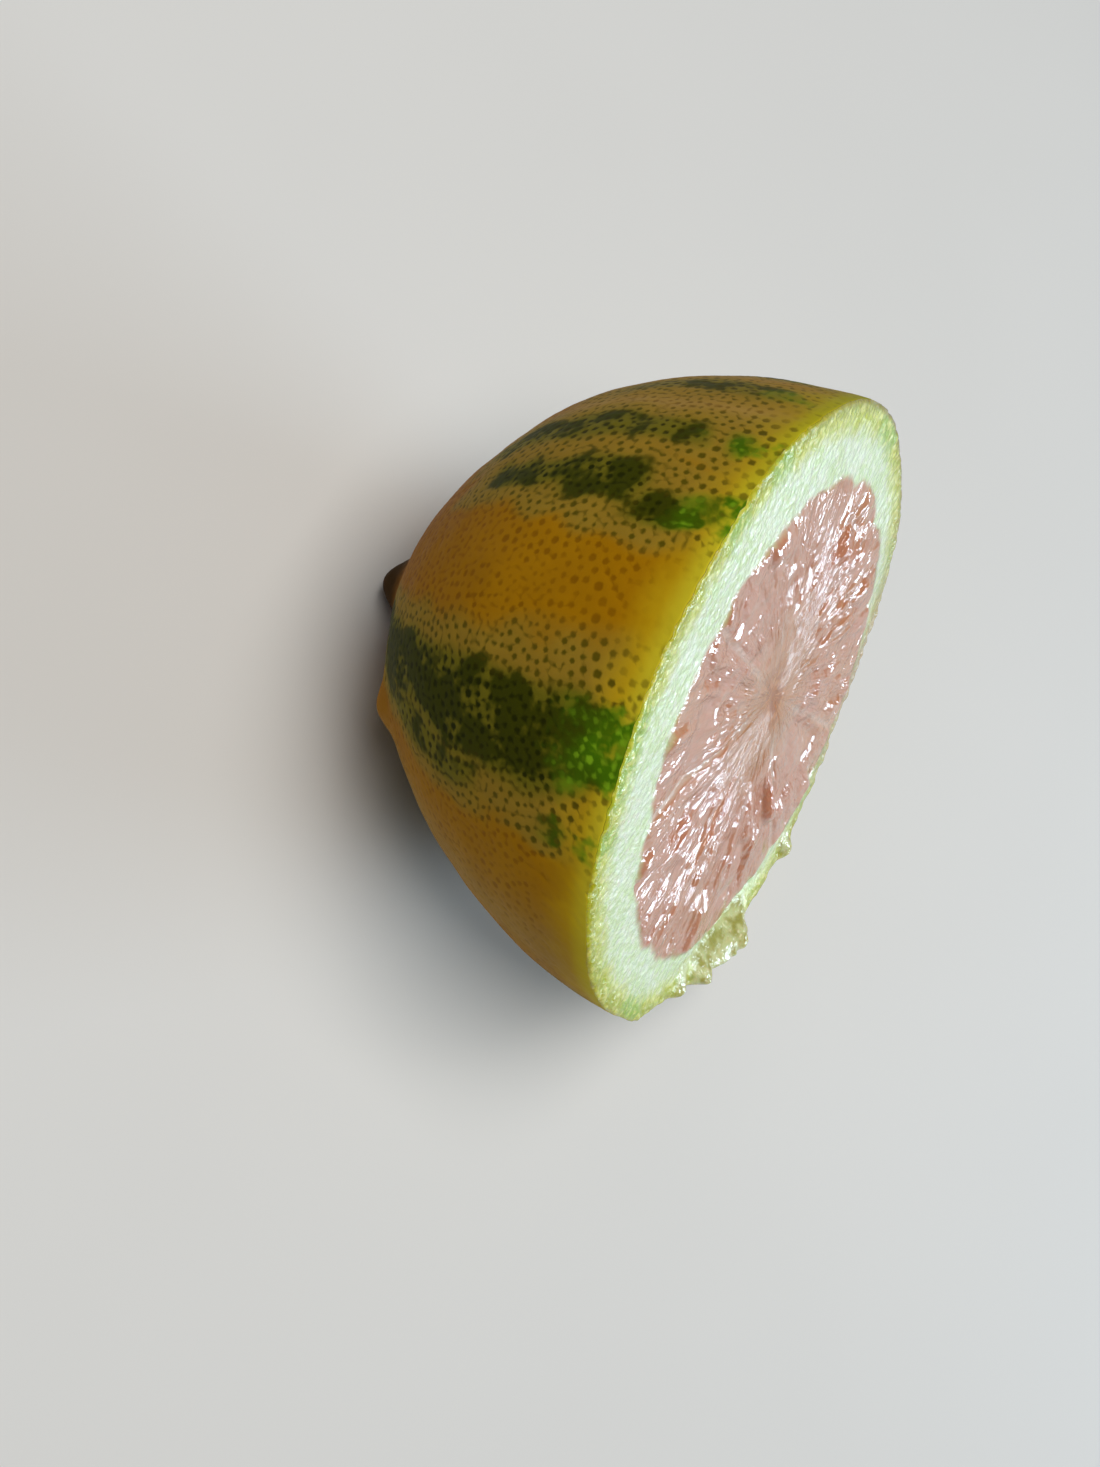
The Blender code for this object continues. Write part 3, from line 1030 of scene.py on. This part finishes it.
def peel_material():
    """The rind: yellow to ochre with green stripes, and a darker dot at each oil gland. The yellow at the
    cut is partly painted glow, the ochre's deepening partly painted shade, the tan partly painted sheen, and
    the nipple's brown painted shade.
    """
    paint = Paint("peel")
    dotty = paint.value("dotty")
    soft = paint.noise(*PEEL_SOFT)
    fine = paint.noise(*PEEL_FINE)
    depth = paint.value("depth")
    near_cut = paint.fade(paint.math("MULTIPLY_ADD", soft, 3.0, depth), YELLOW_AND_GLOW_MARGIN)
    near_leaf = paint.math("MULTIPLY_ADD", paint.noise(*LEAFY_WAVES), 12.0, depth)
    near_leaf = paint.fade(near_leaf, LEAFY_MARGIN)
    holes = paint.step(paint.noise(*PEEL_BLOTCHES), (0.38, 0.60), 0.0, 0.65)
    green = paint.math("SUBTRACT", paint.value("green"), paint.math("MULTIPLY", near_cut, holes))

    ground = peel_ground(paint, green, dotty, soft, near_cut, near_leaf)
    spot = paint.blend(1.0, ground, DOT_SHADE, "MULTIPLY")
    spot = paint.blend(paint.step(dotty, (0.1, 0.75)), spot, OLIVE_DOT)
    spot = paint.blend(paint.step(green, (0.30, 1.0)), spot, paint.blend(near_leaf, DEEP_GREEN, LIME))
    colour = paint.blend(gland_dots(paint, dotty, fine), ground, spot)
    # Painted shade: the nipple darkened to brown near its tip
    tip = paint.math("MULTIPLY_ADD", soft, 2.0, paint.value("tip"))
    colour = paint.blend(paint.fade(tip, NIPPLE_SHADE_REACH, 0.97), colour, NIPPLE_PAINTED_SHADE)

    smoothest, added = PEEL_ROUGHNESS
    roughness = paint.math("MULTIPLY_ADD", fine, added, smoothest)
    paint.set(base_color=colour, roughness=roughness, specular_ior_level=PEEL_SPECULAR)
    paint.set(subsurface_weight=0.10, subsurface_scale=0.002, subsurface_radius=(1.0, 0.75, 0.12))
    paint.bump(paint.noise(*PEEL_PORES), PORE_DEPTH, PORE_STRENGTH)
    return paint.material


def peel_section(paint, rim, soft, fine):
    """The colour of zest and pith round the flesh, browner where the edge is thin."""
    speck = paint.noise(*ZEST_SPECKS)
    zest = paint.blend(paint.step(rim, ZEST_DEPTH), ZEST_OUTER, ZEST_INNER)
    zest = paint.blend(paint.step(paint.value("green"), (0.2, 0.9), 0.0, 0.7), zest, ZEST_GREEN)
    zest = paint.blend(paint.step(speck, (0.50, 0.62), 0.0, 0.55), zest, ZEST_PALE)
    zest = paint.blend(paint.fade(fine, (0.30, 0.50), 0.35), zest, ZEST_GREEN)
    # Bright yellow outline at the rim: partly painted glow
    zest = paint.blend(paint.fade(rim, ZEST_OUTLINE, 0.45), zest, BRIGHT_YELLOW_AND_GLOW)
    olive = paint.math("MULTIPLY", paint.value("olive"), paint.fade(rim, OLIVE_OUTLINE))
    zest = paint.blend(olive, zest, ZEST_OLIVE)
    pith = paint.blend(paint.step(soft, (0.35, 0.62)), PITH, PITH_COOL)
    pith = paint.blend(paint.step(fine, (0.45, 0.62), 0.0, 0.6), pith, PITH_WHITE)
    ragged_rim = paint.math("MULTIPLY_ADD", fine, 1.6, paint.math("SUBTRACT", rim, 0.8))
    ragged_rim = paint.math("MULTIPLY_ADD", soft, 3.0, paint.math("SUBTRACT", ragged_rim, 1.5))
    section = paint.blend(paint.step(ragged_rim, PITH_START), zest, pith)
    thin = paint.math("MULTIPLY", paint.value("thin"), paint.fade(rim, THIN_EDGE_DEPTH, 1.0, 0.5))
    return paint.blend(thin, section, THIN_EDGE)


def flesh_colour(paint, core, streak, heart_at):
    """The colour of the pulp, with its membranes, and of the core."""
    wide = paint.noise(*ROSE_PATCHES)
    streaks = paint.step(streak, (0.32, 0.68), 0.0, 0.7)
    shade = paint.math("MULTIPLY_ADD", paint.value("tone"), 0.22, streaks)
    pulp = paint.blend(shade, PULP_LIGHT, PULP_DEEP)
    pulp = paint.blend(paint.step(wide, (0.35, 0.6), 0.0, 0.6), pulp, PULP_ROSE)
    pulp = paint.blend(paint.fade(core, WARM_REACH, 0.7), pulp, PULP_WARM)
    pulp = paint.blend(paint.fade(paint.value("crease"), CREASE_LINE, 0.12), pulp, PULP_LINE)
    line = paint.math("MULTIPLY", paint.fade(paint.value("wall"), MEMBRANE_LINE, 0.80), paint.value("shows"))
    line = paint.math("MULTIPLY", line, paint.step(core, LINES_FROM_CORE, 0.1, 1.0))
    pulp = paint.blend(line, pulp, MEMBRANE)
    ray = paint.math("MULTIPLY", streak, HEART_STREAKS)
    ray = paint.math("MULTIPLY_ADD", paint.noise(*CORE_RAYS), HEART_RAYS, ray)
    heart = paint.blend(paint.step(ray, (0.44, 0.56)), CORE_PALE, CORE_BROWN)
    heart = paint.blend(paint.fade(heart_at, HEART_DARK_REACH, 0.7), heart, CORE_BROWN)
    return paint.blend(paint.fade(heart_at, HEART_REACH, 0.95), pulp, heart)


def along_rays(paint, core, stretch):
    """A place that changes quickly round the core and slowly along its rays."""
    return paint.vector(paint.value("ray_x"), paint.math("DIVIDE", core, stretch), paint.value("ray_z"))


def cut_relief(paint, core, in_flesh):
    """The height of fibres in the flesh and of grain on the pith and zest."""
    fibres = along_rays(paint, core, FIBRE_STRETCH)
    clump = paint.step(paint.noise(*FIBRE_CLUMPS), (0.36, 0.52), 0.30, 1.0)
    clump = paint.math("MULTIPLY", clump, paint.step(core, FIBRES_FROM_CORE, 0.20, 1.0))
    wave = paint.math("MULTIPLY", paint.noise(*FIBRES, fibres), FIBRE_HEIGHT)
    wave = paint.math("MULTIPLY_ADD", paint.cells(FIBRE_CELLS, fibres), FIBRE_CELL_HEIGHT, wave)
    wave = paint.math("MULTIPLY_ADD", paint.noise(*FLESH_GRAIN), FLESH_GRAIN_HEIGHT, wave)
    wave = paint.math("MULTIPLY", wave, paint.math("MULTIPLY", clump, in_flesh))
    grain = paint.math("MULTIPLY", paint.math("SUBTRACT", 1.0, in_flesh), paint.noise(*PITH_GRAIN))
    return paint.math("MULTIPLY_ADD", grain, PITH_GRAIN_HEIGHT, wave)


def cut_material():
    """The cut face: zest and pith round wet flesh with its membranes, vesicles and core."""
    paint = Paint("cut_face")
    rim = paint.value("rim")
    core = paint.value("core")
    soft = paint.noise(*CUT_SOFT)
    fine = paint.noise(*CUT_FINE)
    section = peel_section(paint, rim, soft, fine)
    wet = paint.step(paint.value("torn"), TORN_LOOK_HEIGHTS)
    wet = paint.math("MULTIPLY", wet, paint.fade(rim, TORN_LOOK_DEPTH))
    torn_flesh = paint.blend(paint.step(paint.noise(*TORN_PATCHES), (0.38, 0.60)), TORN_YELLOW, TORN_PALE)
    section = paint.blend(wet, section, torn_flesh)

    streak = paint.noise(*STREAKS, along_rays(paint, core, VESICLE_STRETCH))
    heart_x, heart_z = (
        paint.math("MULTIPLY", paint.math("MULTIPLY", paint.value(name), core), narrowing)
        for name, narrowing in zip(("ray_x", "ray_z"), HEART_SHAPE)
    )
    heart_at = paint.length(paint.vector(heart_x, heart_z, 0.0))
    edge = paint.math("MULTIPLY_ADD", fine, 0.5, paint.math("SUBTRACT", paint.value("flesh"), 0.25))
    in_flesh = paint.step(edge, FLESH_EDGE)
    colour = paint.blend(in_flesh, section, flesh_colour(paint, core, streak, heart_at))

    roughest, added = CUT_ROUGHNESS
    roughness = paint.math("MULTIPLY_ADD", in_flesh, added, roughest)
    roughness = paint.math("SUBTRACT", roughness, paint.math("MULTIPLY", wet, TORN_SMOOTHNESS))
    paint.set(base_color=colour, roughness=roughness, subsurface_weight=0.55, subsurface_scale=0.0022)
    paint.set(subsurface_radius=(1.0, 0.55, 0.35), ior=CUT_IOR)
    wet_flesh = paint.math("MULTIPLY", in_flesh, paint.step(heart_at, WET_FROM_CORE))
    wet_share = paint.math("MAXIMUM", wet_flesh, wet)
    dullest, added = CUT_SPECULAR
    paint.set(specular_ior_level=paint.math("MULTIPLY_ADD", wet_share, added, dullest))
    paint.bump(cut_relief(paint, core, in_flesh), MM, 1.0)
    return paint.material


def floor_material():
    """A plain pale surface."""
    paint = Paint("floor")
    mottle = paint.step(paint.noise(FLOOR_MOTTLE, 2), (0.3, 0.7), 0.0, 0.3)
    colour = paint.blend(mottle, FLOOR_LIGHT, FLOOR_SHADE)
    paint.set(base_color=colour, roughness=FLOOR_ROUGHNESS)
    return paint.material


def make_floor():
    """The plain pale floor under the half."""
    mesh = bpy.data.meshes.new("floor")
    half = FLOOR_SIZE / 2
    corners = [(-half, -half, 0), (half, -half, 0), (half, half, 0), (-half, half, 0)]
    mesh.from_pydata(corners, [], [(0, 1, 2, 3)])
    mesh.materials.append(floor_material())
    floor = bpy.data.objects.new("floor", mesh)
    bpy.context.collection.objects.link(floor)


def direction(azimuth, elevation):
    """A unit vector towards an azimuth (0 is -Y, 90 is +X) and an elevation, in degrees."""
    turn = math.radians(azimuth)
    rise = math.radians(elevation)
    return Vector((math.sin(turn) * math.cos(rise), -math.cos(turn) * math.cos(rise), math.sin(rise)))


def soft_light(name, azimuth, elevation, distance, size, power, colour):
    """A panel of soft light that faces the half."""
    data = bpy.data.lights.new(name, "AREA")
    data.shape = "RECTANGLE"
    data.size, data.size_y = size
    data.energy = power
    data.color = colour
    light = bpy.data.objects.new(name, data)
    towards = direction(azimuth, elevation)
    light.location = CUT_CENTRE + towards * distance
    light.rotation_euler = towards.to_track_quat("Z", "Y").to_euler()
    bpy.context.collection.objects.link(light)


def make_world():
    """A plain pale room all round."""
    world = bpy.data.worlds.new("room")
    world.use_nodes = True
    background = world.node_tree.nodes["Background"]
    background.inputs["Color"].default_value = ROOM_COLOUR
    background.inputs["Strength"].default_value = ROOM_STRENGTH
    bpy.context.scene.world = world


def make_camera():
    """The camera at the photograph's viewing angle."""
    data = bpy.data.cameras.new("camera")
    data.lens = LENS
    data.sensor_width = SENSOR
    data.sensor_fit = "AUTO"
    data.clip_start = CLIP_START
    camera = bpy.data.objects.new("camera", data)
    back = direction(CAMERA_AZIMUTH, CAMERA_ELEVATION)
    aim = back.to_track_quat("Z", "Y").to_matrix()
    rotation = aim @ Matrix.Rotation(math.radians(CAMERA_ROLL), 3, "Z")
    camera.rotation_euler = rotation.to_euler()
    camera.location = CUT_CENTRE - rotation @ FACE_IN_CAMERA
    bpy.context.collection.objects.link(camera)
    bpy.context.scene.camera = camera


def main():
    """Builds the half and, round it, the floor, the light and the camera."""
    half = build_half()
    half.data.materials.append(peel_material())
    half.data.materials.append(cut_material())
    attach(half, "root")
    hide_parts("lemon_half")
    make_floor()
    make_world()
    for light in LIGHTS:
        soft_light(*light)
    make_camera()
    bpy.context.scene.view_settings.view_transform = "Standard"


main()
